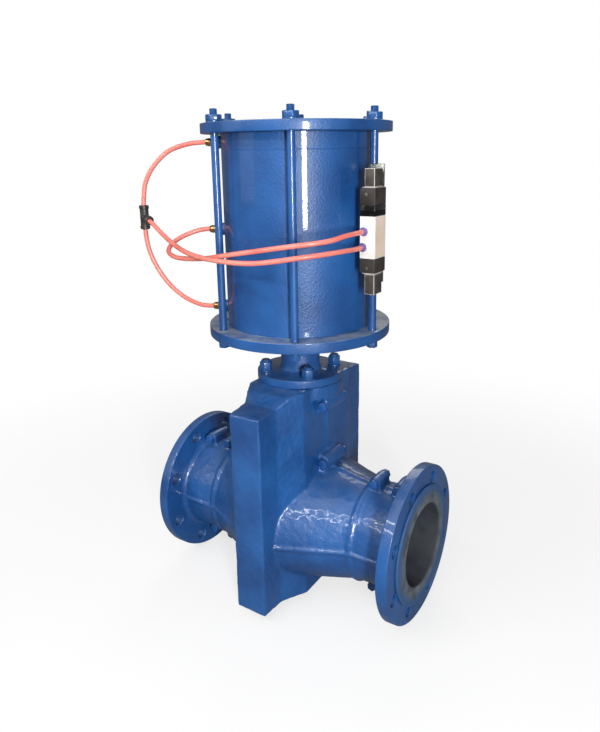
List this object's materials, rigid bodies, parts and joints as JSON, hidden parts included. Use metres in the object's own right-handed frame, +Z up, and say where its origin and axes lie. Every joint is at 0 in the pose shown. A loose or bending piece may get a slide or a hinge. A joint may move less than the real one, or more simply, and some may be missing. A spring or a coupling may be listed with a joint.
{
  "type": "pneumatic pinch valve",
  "caption": "Air-operated pinch valve: a flanged body squeezes a rubber sleeve shut between two bars worked by a tie-rod air cylinder on top.",
  "frame": {"origin": "where the pipe axis crosses the stem axis, at the middle of the body", "axes": "+X along the pipe, +Z up the stem towards the air cylinder, -Y the side that the hoses cross"},
  "size_m": [0.51, 0.3851, 0.8912],
  "materials": {
    "blue_enamel": "gloss enamel",
    "painted_bolt": "gloss enamel",
    "sleeve_rubber": "matt",
    "seal_rubber": "satin",
    "pinch_iron": "as cast",
    "stem_steel": "ground",
    "piston_alloy": "turned",
    "gland_bronze": "turned",
    "valve_white": "anodised",
    "adapter_black": "moulded",
    "coil_black": "moulded",
    "bracket_zinc": "zinc plated",
    "collar_purple": "moulded",
    "fitting_brass": "turned",
    "hose_red": "extruded polyurethane"
  },
  "bodies": {
    "housing": {"body_half_near": "blue_enamel", "body_half_far": "blue_enamel", "bonnet": "blue_enamel", "cylinder_bottom_plate": "blue_enamel", "cylinder_top_plate": "blue_enamel", "cylinder_barrel": "blue_enamel", "tie_rod_1": "blue_enamel", "tie_rod_nut_1": "blue_enamel", "tie_rod_2": "blue_enamel", "tie_rod_nut_2": "blue_enamel", "tie_rod_3": "blue_enamel", "tie_rod_nut_3": "blue_enamel", "tie_rod_4": "blue_enamel", "tie_rod_nut_4": "blue_enamel", "tie_rod_5": "blue_enamel", "tie_rod_nut_5": "blue_enamel", "tie_rod_6": "blue_enamel", "tie_rod_nut_6": "blue_enamel", "body_bolt_1": "painted_bolt", "body_bolt_2": "painted_bolt", "body_bolt_3": "painted_bolt", "body_bolt_4": "painted_bolt", "body_bolt_5": "painted_bolt", "body_bolt_6": "painted_bolt", "body_bolt_7": "painted_bolt", "body_bolt_8": "painted_bolt", "bonnet_bolt_1": "painted_bolt", "bonnet_bolt_2": "painted_bolt", "bonnet_bolt_3": "painted_bolt", "bonnet_bolt_4": "painted_bolt", "rubber_sleeve": "sleeve_rubber", "stem_packing": "seal_rubber", "gland_bush": "gland_bronze", "valve_body": "valve_white", "upper_adapter": "adapter_black", "lower_adapter": "adapter_black", "upper_coil": "coil_black", "lower_coil": "coil_black", "valve_bracket": "bracket_zinc", "port_collar_upper": "collar_purple", "port_collar_lower": "collar_purple", "port_fitting_top": "fitting_brass", "port_fitting_middle": "fitting_brass", "port_fitting_bottom": "fitting_brass", "hose_tee": "adapter_black", "hose_top": "hose_red", "hose_bottom": "hose_red", "hose_middle": "hose_red", "hose_branch": "hose_red"},
    "upper_gear": {"upper_piston": "piston_alloy", "upper_piston_seal": "seal_rubber", "inner_stem": "stem_steel", "upper_pinch_bar": "pinch_iron"},
    "lower_gear": {"lower_piston": "piston_alloy", "lower_piston_seal": "seal_rubber", "outer_stem": "stem_steel", "crosshead": "pinch_iron", "pull_rod_near": "stem_steel", "pull_rod_far": "stem_steel", "lower_pinch_bar": "pinch_iron"}
  },
  "joints": [
    {"name": "lower_slide", "type": "slide", "parent": "housing", "child": "lower_gear", "axis": [0, 0, 1], "range_m": [0, 0.074], "deforming": ["rubber_sleeve"]},
    {"name": "upper_slide", "type": "slide", "parent": "housing", "child": "upper_gear", "axis": [0, 0, -1], "range_m": [0, 0.074], "deforming": ["rubber_sleeve"]}
  ],
  "couplings": [
    {"joint": "upper_slide", "follows": "lower_slide", "ratio": 1}
  ]
}
